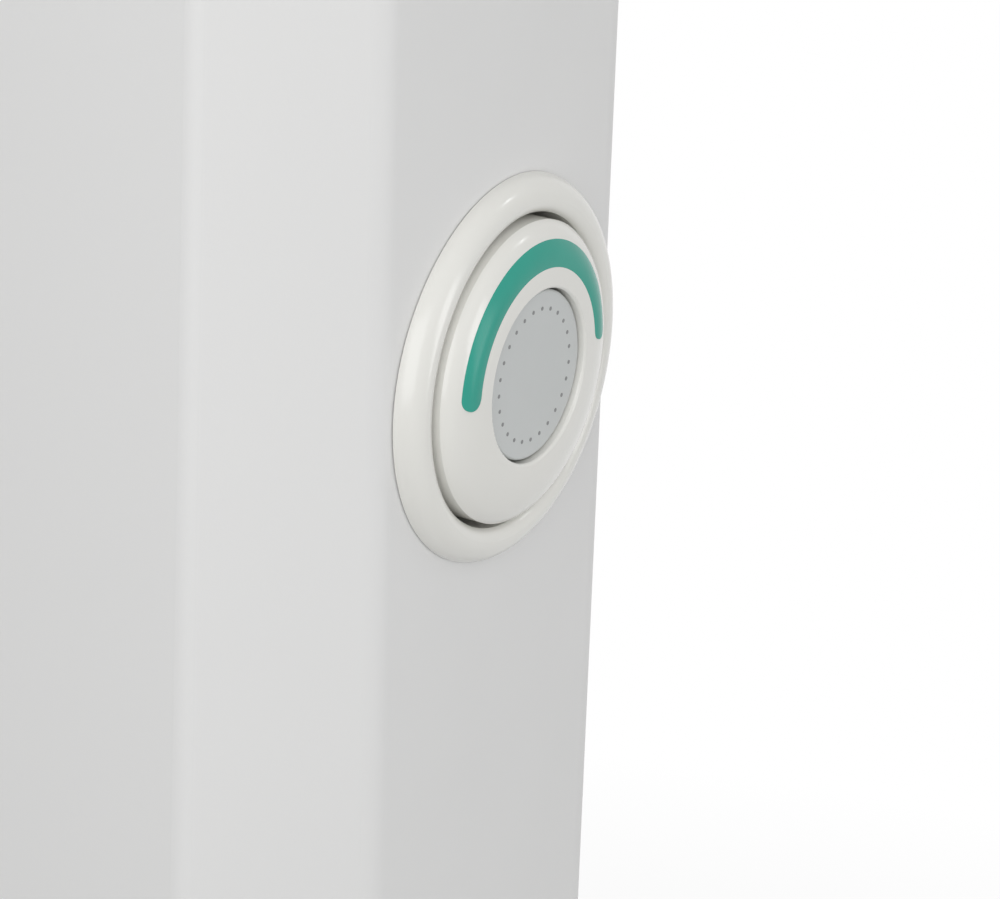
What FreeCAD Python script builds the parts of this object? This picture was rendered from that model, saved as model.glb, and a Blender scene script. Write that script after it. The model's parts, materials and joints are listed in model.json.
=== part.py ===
import FreeCAD, Part
import math
import operator
import os
from types import SimpleNamespace

import Sketcher

# Oil-filled column radiator on four casters, as a parametric document in millimetres.
# +X is the control end, Y runs across the fins, +Z is up, and the origin is on the floor
# under the middle of the whole radiator.

FIN_COUNT = 7
CASTER_PLACES = {
    "front_left": (1, 1),
    "front_right": (1, -1),
    "rear_left": (-1, 1),
    "rear_right": (-1, -1),
}
SIDES = {"left": 1, "right": -1}

# Places closer together than this are the same place
SAME_PLACE = 1e-4

SIZES = {
    # pressed steel columns
    "fin_pitch": 38.0,
    "fin_width": 150.0,
    "fin_height": 524.0,
    "fin_corner": 38.0,
    "web_thickness": 1.6,
    "sheet_wall": 1.0,
    "flange_width": 30.0,
    "flange_thickness": 1.2,
    "flange_round": 10.0,
    "channel_width": 86.0,
    "channel_depth": 14.0,
    "channel_end": 28.0,
    "channel_bevel": 4.0,
    "seam_width": 18.0,
    "seam_start": 36.0,
    "header_inset": 55.0,
    "header_radius": 21.0,
    "slot_width": 11.0,
    "slot_length": 34.0,
    "slot_pitch": 54.0,
    # heating element in the lower header
    "rod_radius": 3.5,
    "rod_bend": 7.0,
    "rod_spacing": 16.0,
    "rod_end_room": 9.0,
    "element_flange_radius": 24.0,
    "element_flange_thickness": 5.0,
    "terminal_radius": 2.5,
    "terminal_length": 14.0,
    "plug_radius": 24.0,
    "plug_thickness": 3.0,
    "plug_nut_radius": 9.0,
    "plug_nut_height": 8.0,
    # control housing
    "housing_depth": 88.8,
    "housing_width": 150.0,
    "housing_lift": 18.0,
    "cover_wall": 2.5,
    "cover_fit": 0.3,
    "front_radius": 900.0,
    "front_half": 43.1,
    "front_taper": 0.0165,
    "chamfer_depth": 25.0,
    "front_bend": 10.0,
    "side_bend": 4.6,
    "plate_thickness": 1.5,
    "plate_lip": 14.0,
    "bottom_thickness": 2.5,
    "vent_width": 4.0,
    "vent_length": 46.0,
    "vent_pitch": 9.0,
    "vent_spread": 108.0,
    "cap_height": 16.0,
    "cap_deck": 3.0,
    "cap_wall": 3.8,
    "cap_round": 4.0,
    "screw_head_radius": 3.6,
    "screw_head_height": 2.0,
    "drive_length": 4.0,
    "drive_width": 1.0,
    "drive_depth": 1.2,
    "screw_radius": 1.8,
    "screw_length": 8.0,
    "screw_clearance": 0.3,
    "screw_inset": 28.0,
    "screw_from_back": 8.0,
    # cable gland under the housing
    "gland_bore": 4.2,
    "gland_wall": 3.0,
    "gland_flange": 5.0,
    "gland_flange_height": 3.0,
    "gland_nose": 12.0,
    "gland_nut_height": 5.0,
    "gland_setback": 42.0,
    # round control
    "dial_drop": 106.0,
    "button_radius": 17.3,
    "button_gap": 0.45,
    "button_rise": 7.6,
    "button_thickness": 2.2,
    "button_edge": 0.6,
    "button_travel": 2.5,
    "rim_land": 4.21,
    "rim_rise": 8.85,
    "rim_round": 0.6,
    "arc_width": 5.44,
    "arc_depth": 0.8,
    "arc_crown": 8.4,
    "arc_lift": 7.0,
    "arc_margin": 0.3,
    "dome_radius": 26.5,
    "edge_land": 3.1,
    "edge_rise": 4.6,
    "edge_round": 5.8,
    "dial_skirt": 8.0,
    "dial_wall": 2.5,
    "floor_drop": 1.5,
    "floor_thickness": 2.5,
    "hub_radius": 8.0,
    "hub_length": 30.0,
    "plunger_radius": 5.0,
    "running_fit": 0.06,
    "dial_gap": 1.23,
    "bezel_width": 7.57,
    "bezel_rise": 4.6,
    "bezel_lip": 3.0,
    "bezel_outer_round": 5.0,
    "bezel_seat": 0.2,
    "sleeve_wall": 2.4,
    "sleeve_depth": 12.0,
    # pieces behind the round control
    "thermostat_gap": 4.0,
    "thermostat_depth": 26.0,
    "thermostat_width": 44.0,
    "blade_width": 6.3,
    "blade_thickness": 0.8,
    "blade_length": 8.0,
    "bracket_width": 58.0,
    "bracket_height": 46.0,
    "bracket_lip": 12.0,
    "switch_width": 18.0,
    "switch_depth": 16.0,
    "switch_entry": 6.0,
    "cutout_radius": 9.0,
    "cutout_height": 10.0,
    "cutout_above_header": 60.0,
    "block_width": 56.0,
    "block_height": 20.0,
    "block_depth": 16.0,
    "block_hole": 2.2,
    "block_above_bottom": 120.0,
    # rocker switches and lamp on the top cap
    "rocker_radius": 9.0,
    "rocker_width": 12.0,
    "rocker_peak": 3.2,
    "rocker_valley": 1.0,
    "rocker_tilt": 10.0,
    "rocker_gap": 0.4,
    "rocker_spread": 22.0,
    "rocker_setback": 38.0,
    "rocker_box_wall": 1.5,
    "rocker_box_depth": 13.0,
    "rocker_flange": 1.5,
    "rocker_flange_height": 1.4,
    "lamp_radius": 4.0,
    "lamp_stem": 3.0,
    "lamp_rise": 2.0,
    "lamp_length": 12.0,
    # carrying handle
    "handle_gap": 32.0,
    "grip_radius": 9.0,
    "grip_swell": 1.2,
    "spigot_radius": 6.0,
    "spigot_length": 6.0,
    "post_thickness": 15.0,
    "post_inset": 12.0,
    "post_base": 34.0,
    "post_round": 3.0,
    "post_setback": 20.0,
    "handle_screw_radius": 2.5,
    "handle_screw_length": 14.0,
    "handle_screw_head": 4.5,
    "handle_screw_head_height": 3.0,
    # feet
    "rail_length": 230.0,
    "rail_width": 56.0,
    "rail_height": 20.0,
    "rail_wall": 3.0,
    "rail_round": 22.0,
    "rail_edge": 4.0,
    "socket_radius": 9.0,
    "caster_inset": 23.0,
    "bolt_radius": 3.0,
    "bolt_slack": 0.3,
    "bolt_thread": 14.0,
    "nut_radius": 6.0,
    "nut_height": 6.0,
    "wing_length": 7.0,
    "wing_height": 8.0,
    "wing_thickness": 2.5,
    # casters
    "wheel_radius": 20.0,
    "wheel_width": 16.0,
    "wheel_edge": 3.0,
    "wheel_recess": 2.5,
    "wheel_hub": 7.0,
    "wheel_rim": 15.0,
    "axle_radius": 3.0,
    "axle_head": 4.6,
    "axle_head_thickness": 1.2,
    "wheel_side_gap": 0.6,
    "wheel_top_gap": 1.5,
    "cheek_thickness": 3.0,
    "cheek_radius": 7.0,
    "crown_thickness": 4.0,
    "crown_radius": 11.0,
    "caster_trail": 14.0,
    "swivel_gap": 0.5,
    "stem_radius": 4.0,
    "stem_depth": 15.0,
    "press_fit": 0.02,
}

doc = FreeCAD.newDocument("radiator")
sheet = doc.addObject("Spreadsheet::Sheet", "Sizes")
for row, (alias, number) in enumerate(SIZES.items(), start=1):
    sheet.set(f"A{row}", alias.replace("_", " "))
    sheet.set(f"B{row}", str(number))
    sheet.setAlias(f"B{row}", alias)
doc.recompute()

OPERATIONS = {"+": operator.add, "-": operator.sub, "*": operator.mul, "/": operator.truediv}


class Size:
    """A length worked out from the sheet, with the formula that gives it."""

    def __init__(self, value, text):
        self.value = value
        self.text = text

    def __add__(self, other):
        return combine(self, "+", other)

    def __radd__(self, other):
        return combine(other, "+", self)

    def __sub__(self, other):
        return combine(self, "-", other)

    def __rsub__(self, other):
        return combine(other, "-", self)

    def __mul__(self, other):
        return combine(self, "*", other)

    def __rmul__(self, other):
        return combine(other, "*", self)

    def __truediv__(self, other):
        return combine(self, "/", other)

    def __neg__(self):
        return combine(0, "-", self)


def as_size(item):
    return item if isinstance(item, Size) else Size(float(item), f"({float(item)})")


def combine(left, sign, right):
    left = as_size(left)
    right = as_size(right)
    value = OPERATIONS[sign](left.value, right.value)
    return Size(value, f"({left.text} {sign} {right.text})")


def root(size):
    return Size(math.sqrt(size.value), f"sqrt({size.text})")


def cosine(angle):
    """Cosine of an angle in degrees."""
    return Size(math.cos(math.radians(angle.value)), f"cos({angle.text})")


def sine(angle):
    """Sine of an angle in degrees."""
    return Size(math.sin(math.radians(angle.value)), f"sin({angle.text})")


S = SimpleNamespace(**{alias: Size(sheet.get(alias), f"Sizes.{alias}") for alias in SIZES})

# Heights, from the floor up
crown_bottom = S.wheel_radius * 2 + S.wheel_top_gap
crown_top = crown_bottom + S.crown_thickness
rail_bottom = crown_top + S.swivel_gap
fin_bottom = rail_bottom + S.rail_height
lower_header = fin_bottom + S.header_inset
fin_top = fin_bottom + S.fin_height
upper_header = fin_top - S.header_inset
cover_bottom = fin_bottom + S.housing_lift
cap_top = fin_top
cover_top = cap_top - S.cap_height
dial_height = cover_top - S.dial_drop
grip_height = cap_top + S.handle_gap + S.grip_radius

# Lengths along the radiator, centred on the origin
block_length = S.fin_pitch * (FIN_COUNT - 1) + S.flange_width / 2 + S.fin_pitch / 2
overall_length = block_length + S.housing_depth + S.rim_rise
rear_end = -overall_length / 2
plate_rear = rear_end + block_length
plate_front = plate_rear + S.plate_thickness
apex = plate_rear + S.housing_depth

# Radii of the round control, from its centre out
button_hole = S.button_radius + S.button_gap
arc_inner = button_hole + S.rim_land
arc_outer = arc_inner + S.arc_width
dial_shoulder = arc_outer + S.arc_margin
dial_radius = dial_shoulder + S.edge_land
bezel_inner = dial_radius + S.dial_gap
bezel_outer = bezel_inner + S.bezel_width
sleeve_outer = bezel_inner + S.sleeve_wall

# Places behind the round control, measured back from the panel
thermostat_front = S.dial_skirt + S.thermostat_gap
bracket_front = thermostat_front + S.thermostat_depth
bracket_back = bracket_front + S.plate_thickness

ALONG_X = FreeCAD.Rotation(FreeCAD.Vector(0, 1, 0), 90)
ALONG_Y = FreeCAD.Rotation(FreeCAD.Vector(1, 0, 0), -90)
UPRIGHT = FreeCAD.Rotation()
ACROSS_X = FreeCAD.Rotation(FreeCAD.Vector(1, 1, 1), 120)

nodes = []


def node(item, name):
    """Names a finished piece and puts it on the list of pieces to write."""
    item.Label = name
    nodes.append(item)
    return item


def put(item, x=0, y=0, z=0, turn=UPRIGHT):
    """Places a piece by formulas for its position."""
    item.Placement = FreeCAD.Placement(FreeCAD.Vector(), turn)
    for axis, place in zip("xyz", (x, y, z)):
        item.setExpression(f"Placement.Base.{axis}", as_size(place).text)
    return item


def fin_x(number):
    return rear_end + S.flange_width / 2 + S.fin_pitch * (number - 1)


# Sketches


def new_sketch(body, role, offset=None):
    sketch = body.newObject("Sketcher::SketchObject", "sketch")
    plane = next(item for item in body.Origin.OriginFeatures if item.Role == role)
    sketch.AttachmentSupport = [(plane, "")]
    sketch.MapMode = "FlatFace"
    if offset is not None:
        sketch.setExpression("AttachmentOffset.Base.z", as_size(offset).text)
    return sketch


def measure(sketch, kind, ends, size):
    """Adds one dimension, kept positive, and ties it to its formula."""
    index = sketch.addConstraint(Sketcher.Constraint(kind, *ends, size.value))
    sketch.setExpression(f"Constraints[{index}]", size.text)


def fix_point(sketch, shape, end, x, y):
    """Ties a point of a sketch to its place; a plain zero puts it on the axis."""
    for kind, axis, place in (("DistanceX", -2, x), ("DistanceY", -1, y)):
        if not isinstance(place, Size):
            sketch.addConstraint(Sketcher.Constraint("PointOnObject", shape, end, axis))
        elif place.value < 0:
            measure(sketch, kind, (shape, end, -1, 1), -place)
        else:
            measure(sketch, kind, (-1, 1, shape, end), place)


def flat(point):
    return FreeCAD.Vector(as_size(point[0]).value, as_size(point[1]).value, 0)


def bend(begin, end, radius):
    """Arc of less than a half turn, to the left of its travel where the radius is positive."""
    chord = end - begin
    left = FreeCAD.Vector(-chord.y, chord.x, 0).normalize()
    rise = math.sqrt(max(radius * radius - chord.Length * chord.Length / 4, 0.0))
    centre = (begin + end) / 2 + left * math.copysign(rise, radius)
    first, last = (begin, end) if radius > 0 else (end, begin)
    angles = [math.atan2(point.y - centre.y, point.x - centre.x) for point in (first, last)]
    return Part.ArcOfCircle(Part.Circle(centre, FreeCAD.Vector(0, 0, 1), abs(radius)), *angles)


def draw(sketch, start, *moves):
    """Closed outline: each move is a line to (x, y) or an arc to (x, y, radius)."""
    begins = [start, *(move[:2] for move in moves[:-1])]
    shapes = []
    for begin, move in zip(begins, moves):
        if len(move) == 2:
            shapes.append((sketch.addGeometry(Part.LineSegment(flat(begin), flat(move)), False), 1, 2))
            continue
        radius = move[2]
        shape = sketch.addGeometry(bend(flat(begin), flat(move), radius.value), False)
        shapes.append((shape, 1, 2) if radius.value > 0 else (shape, 2, 1))
        measure(sketch, "Radius", (shape,), radius if radius.value > 0 else -radius)
    for place, (shape, first, last) in enumerate(shapes):
        following = shapes[(place + 1) % len(shapes)]
        sketch.addConstraint(Sketcher.Constraint("Coincident", shape, last, following[0], following[1]))
        fix_point(sketch, shape, first, *begins[place])


def rectangle(sketch, left, low, right, high):
    draw(sketch, (left, low), (right, low), (right, high), (left, high), (left, low))


def rounded_rectangle(sketch, left, low, right, high, radius):
    draw(
        sketch,
        (right, low + radius),
        (right, high - radius),
        (right - radius, high, radius),
        (left + radius, high),
        (left, high - radius, radius),
        (left, low + radius),
        (left + radius, low, radius),
        (right - radius, low),
        (right, low + radius, radius),
    )


def upright_slot(sketch, middle, low, high, radius):
    """Round-ended slot between two end centres, one above the other."""
    draw(
        sketch,
        (middle + radius, low),
        (middle + radius, high),
        (middle, high + radius, radius),
        (middle - radius, high, radius),
        (middle - radius, low),
        (middle, low - radius, radius),
        (middle + radius, low, radius),
    )


def circle(sketch, x, y, radius):
    shape = sketch.addGeometry(Part.Circle(flat((x, y)), FreeCAD.Vector(0, 0, 1), radius.value), False)
    measure(sketch, "Radius", (shape,), radius)
    fix_point(sketch, shape, 3, x, y)


# Features


def new_body(name):
    return doc.addObject("PartDesign::Body", name)


def extrude(body, kind, sketch, length, symmetric=False, backward=False):
    feature = body.newObject("PartDesign::" + kind, kind.lower())
    feature.Profile = sketch
    feature.SideType = "Symmetric" if symmetric else "One side"
    feature.Reversed = backward
    feature.setExpression("Length", as_size(length).text)
    return feature


def revolve(body, sketch, axis):
    feature = body.newObject("PartDesign::Revolution", "revolution")
    feature.Profile = sketch
    feature.ReferenceAxis = (sketch, [axis])
    feature.Angle = 360
    return feature


def repeat(body, sketch, axis, feature, spacing, count):
    pattern = body.newObject("PartDesign::LinearPattern", "pattern")
    pattern.Originals = [feature]
    pattern.Direction = (sketch, [axis])
    pattern.Mode = "Spacing"
    pattern.setExpression("Offset", spacing.text)
    pattern.Occurrences = count
    body.Tip = pattern
    return pattern


def soften(body, base, kind, size, chosen):
    """Fillet or chamfer on the edges of a feature that the test picks out."""
    doc.recompute()
    edges = [f"Edge{place}" for place, edge in enumerate(base.Shape.Edges, start=1) if chosen(edge)]
    feature = body.newObject("PartDesign::" + kind, kind.lower())
    feature.Base = (base, edges)
    feature.setExpression("Radius" if kind == "Fillet" else "Size", size.text)
    return feature


def lies_at(axis, *places):
    """Test for edges that lie whole in one of the planes at these places along an axis."""
    spans = {"x": ("XMin", "XMax"), "y": ("YMin", "YMax"), "z": ("ZMin", "ZMax")}[axis]

    def chosen(edge):
        box = edge.BoundBox
        return any(
            all(abs(getattr(box, side) - place.value) < SAME_PLACE for side in spans)
            for place in places
        )

    return chosen


def block(name, x, y, z, length, width, height):
    """Box with its lowest corner at the given place."""
    item = doc.addObject("Part::Box", name)
    for side, size in (("Length", length), ("Width", width), ("Height", height)):
        item.setExpression(side, as_size(size).text)
    return put(item, x, y, z)


def rod(name, x, y, z, radius, length, turn=UPRIGHT):
    item = doc.addObject("Part::Cylinder", name)
    item.setExpression("Radius", as_size(radius).text)
    item.setExpression("Height", as_size(length).text)
    return put(item, x, y, z, turn)


def half_ring(name, x, y, z, ring_radius, radius, turn):
    item = doc.addObject("Part::Torus", name)
    item.setExpression("Radius1", as_size(ring_radius).text)
    item.setExpression("Radius2", as_size(radius).text)
    item.Angle3 = 180
    return put(item, x, y, z, turn)


def fuse(name, *pieces):
    item = doc.addObject("Part::MultiFuse", name)
    item.Shapes = list(pieces)
    return item


def cut(name, base, *tools):
    item = doc.addObject("Part::Cut", name)
    item.Base = base
    item.Tool = tools[0] if len(tools) == 1 else fuse("tools", *tools)
    return item


def group(name, pieces):
    item = doc.addObject("Part::Compound", name)
    item.Links = list(pieces)
    return item


# Columns: two pressed sheets with a loop of oil channels, a slotted web and bent side flanges


def channel_loop(sketch, inset):
    """Outline of the oil loop, with the flat seam between its two upright channels."""
    low = S.header_inset
    high = S.fin_height - S.header_inset
    reach = S.channel_end - inset
    half = S.channel_width / 2 - inset
    rounded_rectangle(sketch, -half, low - reach, half, high + reach, reach)
    seam = S.seam_width / 2 + inset
    upright_slot(sketch, as_size(0), low + S.seam_start, high - S.seam_start, seam)


def both_headers(sketch, radius):
    circle(sketch, 0, S.header_inset, radius)
    circle(sketch, 0, S.fin_height - S.header_inset, radius)


def make_fin(number):
    is_rear = number == 1
    body = new_body(f"fin_{number}")
    half_width = S.fin_width / 2

    sketch = new_sketch(body, "YZ_Plane")
    rounded_rectangle(sketch, -half_width, as_size(0), half_width, S.fin_height, S.fin_corner)
    extrude(body, "Pad", sketch, S.web_thickness, symmetric=True)

    sketch = new_sketch(body, "YZ_Plane")
    channel_loop(sketch, as_size(0))
    loop = extrude(body, "Pad", sketch, S.channel_depth, symmetric=True)
    faces = lies_at("x", S.channel_depth / 2, -S.channel_depth / 2)
    soften(body, loop, "Chamfer", S.channel_bevel, faces)

    sketch = new_sketch(body, "YZ_Plane")
    both_headers(sketch, S.header_radius)
    collar_length = S.fin_pitch / 2 if is_rear else S.fin_pitch
    extrude(body, "Pad", sketch, collar_length, symmetric=not is_rear)

    reach = S.flange_width / 2
    high = S.fin_height - S.fin_corner
    for side in SIDES.values():
        sketch = new_sketch(body, "XZ_Plane", half_width * side)
        rounded_rectangle(sketch, -reach, S.fin_corner, reach, high, S.flange_round)
        extrude(body, "Pad", sketch, S.flange_thickness, backward=side > 0)

    sketch = new_sketch(body, "YZ_Plane")
    channel_loop(sketch, S.channel_bevel + S.sheet_wall / 2)
    extrude(body, "Pocket", sketch, S.channel_depth - S.sheet_wall * 2, symmetric=True)

    sketch = new_sketch(body, "YZ_Plane")
    both_headers(sketch, S.header_radius - S.sheet_wall)
    extrude(body, "Pocket", sketch, collar_length, symmetric=not is_rear, backward=is_rear)

    sketch = new_sketch(body, "YZ_Plane")
    radius = S.slot_width / 2
    middle = (half_width + S.channel_width / 2) / 2
    low = S.fin_corner + S.slot_width
    for side in SIDES.values():
        upright_slot(sketch, side * middle, low, low + S.slot_length - S.slot_width, radius)
    slots = extrude(body, "Pocket", sketch, S.web_thickness * 2, symmetric=True)
    room = S.fin_height.value - 2 * S.fin_corner.value - S.slot_width.value - S.slot_length.value
    repeat(body, sketch, "V_Axis", slots, S.slot_pitch, 1 + int(room / S.slot_pitch.value))

    put(body, fin_x(number), 0, fin_bottom)
    return node(body, f"fin_{number}")


for fin_number in range(1, FIN_COUNT + 1):
    make_fin(fin_number)


# Heating element, its flange and terminals, and the filler plug


def make_element():
    start = fin_x(1) + S.rod_end_room
    length = plate_front - start
    runs = []
    for side in SIDES.values():
        y = S.rod_spacing * (side / 2)
        for level in SIDES.values():
            z = lower_header + S.rod_bend * level
            runs.append(rod("run", start, y, z, S.rod_radius, length, ALONG_X))
        turn = FreeCAD.Rotation(FreeCAD.Vector(1, 0, 0), 90) * FreeCAD.Rotation(FreeCAD.Vector(0, 0, 1), 90)
        runs.append(half_ring("turn", start, y, lower_header, S.rod_bend, S.rod_radius, turn))
    bends = [fuse("bent_rod", *runs[first:first + 3]) for first in (0, 3)]
    node(group("heating_element", bends), "heating_element")

    thick = S.element_flange_thickness
    flange = rod("element_flange", plate_front, 0, lower_header, S.element_flange_radius, thick, ALONG_X)
    node(flange, "element_flange")
    pins = []
    for side in SIDES.values():
        y = S.rod_spacing * (side / 2)
        for level in SIDES.values():
            z = lower_header + S.rod_bend * level
            pin = rod("pin", plate_front + thick, y, z, S.terminal_radius, S.terminal_length, ALONG_X)
            pins.append(pin)
    node(group("element_terminals", pins), "element_terminals")


def make_filler_plug():
    disc = rod("plug_disc", plate_front, 0, upper_header, S.plug_radius, S.plug_thickness, ALONG_X)
    nut = doc.addObject("Part::Prism", "plug_nut")
    nut.Polygon = 6
    nut.setExpression("Circumradius", S.plug_nut_radius.text)
    nut.setExpression("Height", S.plug_nut_height.text)
    put(nut, plate_front + S.plug_thickness, 0, upper_header, ALONG_X)
    node(fuse("oil_filler_plug", disc, nut), "oil_filler_plug")


make_element()
make_filler_plug()


# Control housing: one plan outline, rounded at the front, with a broad chamfer to each flat side


def front_half_at(height):
    return S.front_half.value + S.front_taper.value * (height - dial_height.value)


def housing_outline(height, inset, back):
    """Closed plan outline at a height, moved in from the outside of the cover by an inset."""
    radius = S.front_radius.value
    half = front_half_at(height)
    side = S.housing_width.value / 2
    front = apex.value
    middle = FreeCAD.Vector(front - radius, 0, 0)
    edge = FreeCAD.Vector(front - radius + math.sqrt(radius * radius - half * half), half, 0)
    corner = FreeCAD.Vector(front - S.chamfer_depth.value, side, 0)
    slope = (corner - edge).normalize()
    outward = FreeCAD.Vector(slope.y, -slope.x, 0)
    edge = edge - outward * inset
    side = side - inset
    radius = radius - inset
    front_bend = S.front_bend.value - inset
    side_bend = S.side_bend.value - inset

    # The front bend touches the front arc from inside and the chamfer line
    base = edge - outward * front_bend - middle
    reach = radius - front_bend
    along = -base.dot(slope) - math.sqrt(base.dot(slope) ** 2 - base.dot(base) + reach * reach)
    if (base + slope * along).y < 0:
        along = -base.dot(slope) + math.sqrt(base.dot(slope) ** 2 - base.dot(base) + reach * reach)
    bend_centre = middle + base + slope * along
    on_front = middle + (bend_centre - middle).normalize() * radius
    on_chamfer = bend_centre + outward * front_bend
    front_mid = bend_centre + ((on_front + on_chamfer) / 2 - bend_centre).normalize() * front_bend

    # The side bend touches the chamfer line and the side
    base = edge - outward * side_bend
    along = (side - side_bend - base.y) / slope.y
    side_centre = base + slope * along
    off_chamfer = side_centre + outward * side_bend
    on_side = side_centre + FreeCAD.Vector(0, side_bend, 0)
    side_mid = side_centre + ((off_chamfer + on_side) / 2 - side_centre).normalize() * side_bend

    def across(point):
        return FreeCAD.Vector(point.x, -point.y, 0)

    back_corner = FreeCAD.Vector(back, side, 0)
    edges = [
        Part.Arc(across(on_front), FreeCAD.Vector(front - inset, 0, 0), on_front),
        Part.Arc(on_front, front_mid, on_chamfer),
        Part.LineSegment(on_chamfer, off_chamfer),
        Part.Arc(off_chamfer, side_mid, on_side),
        Part.LineSegment(on_side, back_corner),
        Part.LineSegment(back_corner, across(back_corner)),
        Part.LineSegment(across(back_corner), across(on_side)),
        Part.Arc(across(on_side), across(side_mid), across(off_chamfer)),
        Part.LineSegment(across(off_chamfer), across(on_chamfer)),
        Part.Arc(across(on_chamfer), across(front_mid), across(on_front)),
    ]
    wire = Part.Wire([edge_curve.toShape() for edge_curve in edges])
    wire.translate(FreeCAD.Vector(0, 0, height))
    return wire


def housing_solid(low, high, inset, back):
    outlines = [housing_outline(height, inset, back) for height in (low, high)]
    return Part.makeLoft(outlines, True, True)


def housing_slab(height, thickness, inset, back):
    face = Part.Face(housing_outline(height, inset, back))
    return face.extrude(FreeCAD.Vector(0, 0, thickness))


def cylinder(radius, length, start, direction):
    return Part.makeCylinder(radius.value, length.value, start, FreeCAD.Vector(*direction))


def shaped(name, shape):
    item = doc.addObject("Part::Feature", name)
    item.Shape = shape
    return item


# How far a cutting tool runs past the wall that it cuts
overlap = S.cover_wall * 4
screw_x = plate_rear + S.screw_from_back
screw_levels = (cover_bottom + S.screw_inset, cover_top - S.screw_inset)


def make_front_cover():
    low = cover_bottom.value
    high = cover_top.value
    beyond = overlap.value
    outside = housing_solid(low, high, 0.0, plate_rear.value)
    inside = housing_solid(low - beyond, high + beyond, S.cover_wall.value, plate_rear.value - beyond)
    shell = outside.cut(inside)
    aperture = sleeve_outer + S.cover_fit
    start = FreeCAD.Vector(apex.value - beyond * 2, 0, dial_height.value)
    shell = shell.cut(cylinder(aperture, overlap * 3, start, (1, 0, 0)))
    for level in screw_levels:
        start = FreeCAD.Vector(screw_x.value, -S.housing_width.value, level.value)
        hole = S.screw_radius + S.screw_clearance
        shell = shell.cut(cylinder(hole, S.housing_width * 2, start, (0, 1, 0)))
    node(shaped("front_cover", shell), "front_cover")


def make_bottom_plate():
    inset = (S.cover_wall + S.cover_fit).value
    plate = housing_slab(cover_bottom.value, S.bottom_thickness.value, inset, plate_front.value)
    low = cover_bottom - overlap
    tall = S.bottom_thickness + overlap * 2
    gland = FreeCAD.Vector((apex - S.gland_setback).value, 0, low.value)
    neck = S.gland_bore + S.gland_wall
    plate = plate.cut(cylinder(neck + S.cover_fit, tall, gland, (0, 0, 1)))
    start = plate_front + S.vent_pitch
    length = apex - S.chamfer_depth - start
    first = neck + S.gland_flange + S.vent_width
    room = S.housing_width / 2 - S.vent_pitch - first
    for number in range(1 + int(room.value / S.vent_pitch.value)):
        for side in SIDES.values():
            y = side * (first + S.vent_pitch * number) - S.vent_width / 2
            corner = FreeCAD.Vector(start.value, y.value, low.value)
            slot = Part.makeBox(length.value, S.vent_width.value, tall.value, corner)
            plate = plate.cut(slot)
    node(shaped("bottom_plate", plate), "bottom_plate")


def make_back_plate():
    body = new_body("back_plate")
    half = S.housing_width / 2 - S.cover_wall - S.cover_fit
    sketch = new_sketch(body, "YZ_Plane")
    rectangle(sketch, -half, cover_bottom, half, cover_top)
    hole = S.header_radius - S.sheet_wall * 2
    circle(sketch, 0, lower_header, hole)
    circle(sketch, 0, upper_header, hole)
    extrude(body, "Pad", sketch, S.plate_thickness)
    sketch = new_sketch(body, "YZ_Plane")
    lip_low = cover_bottom + S.bottom_thickness + S.cover_fit
    lip_inner = half - S.plate_thickness
    rectangle(sketch, -half, lip_low, -lip_inner, cover_top)
    rectangle(sketch, lip_inner, lip_low, half, cover_top)
    extrude(body, "Pad", sketch, S.plate_lip)
    sketch = new_sketch(body, "XZ_Plane")
    for level in screw_levels:
        circle(sketch, S.screw_from_back, level, S.screw_radius + S.screw_clearance)
    extrude(body, "Pocket", sketch, S.housing_width, symmetric=True)
    sketch = new_sketch(body, "YZ_Plane")
    low = lower_header + S.header_radius * 2
    for side in SIDES.values():
        upright_slot(sketch, S.vent_spread * (side / 2), low, low + S.vent_length, S.vent_width / 2)
    vents = extrude(body, "Pocket", sketch, S.plate_thickness, backward=True)
    spacing = S.vent_length * 2
    room = upper_header - S.header_radius * 2 - low - S.vent_length
    repeat(body, sketch, "V_Axis", vents, spacing, 1 + int(room.value / spacing.value))
    put(body, plate_rear, 0, 0)
    node(body, "back_plate")


def make_screw(side, level):
    """Domed screw with a cross recess, seated on one side of the cover."""
    head = S.screw_head_radius
    rise = S.screw_head_height
    seat = S.housing_width * (side / 2)
    body = new_body("screw_form")
    sketch = new_sketch(body, "XZ_Plane")
    draw(
        sketch,
        (0, -S.screw_length),
        (S.screw_radius, -S.screw_length),
        (S.screw_radius, 0),
        (head, 0),
        (0, rise, (head * head + rise * rise) / (rise * 2)),
        (0, -S.screw_length),
    )
    revolve(body, sketch, "V_Axis")
    put(body, screw_x, seat, level, ALONG_Y if side > 0 else ALONG_Y.inverted())
    long = S.drive_length
    slim = S.drive_width
    deep = S.drive_depth
    low = seat + rise - deep if side > 0 else seat - rise
    bars = [
        block("bar", screw_x - length / 2, low, level - height / 2, length, deep, height)
        for length, height in ((long, slim), (slim, long))
    ]
    return cut("screw", body, *bars)


def make_cover_screws():
    screws = [make_screw(side, level) for side in SIDES.values() for level in screw_levels]
    node(group("cover_screws", screws), "cover_screws")


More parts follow.
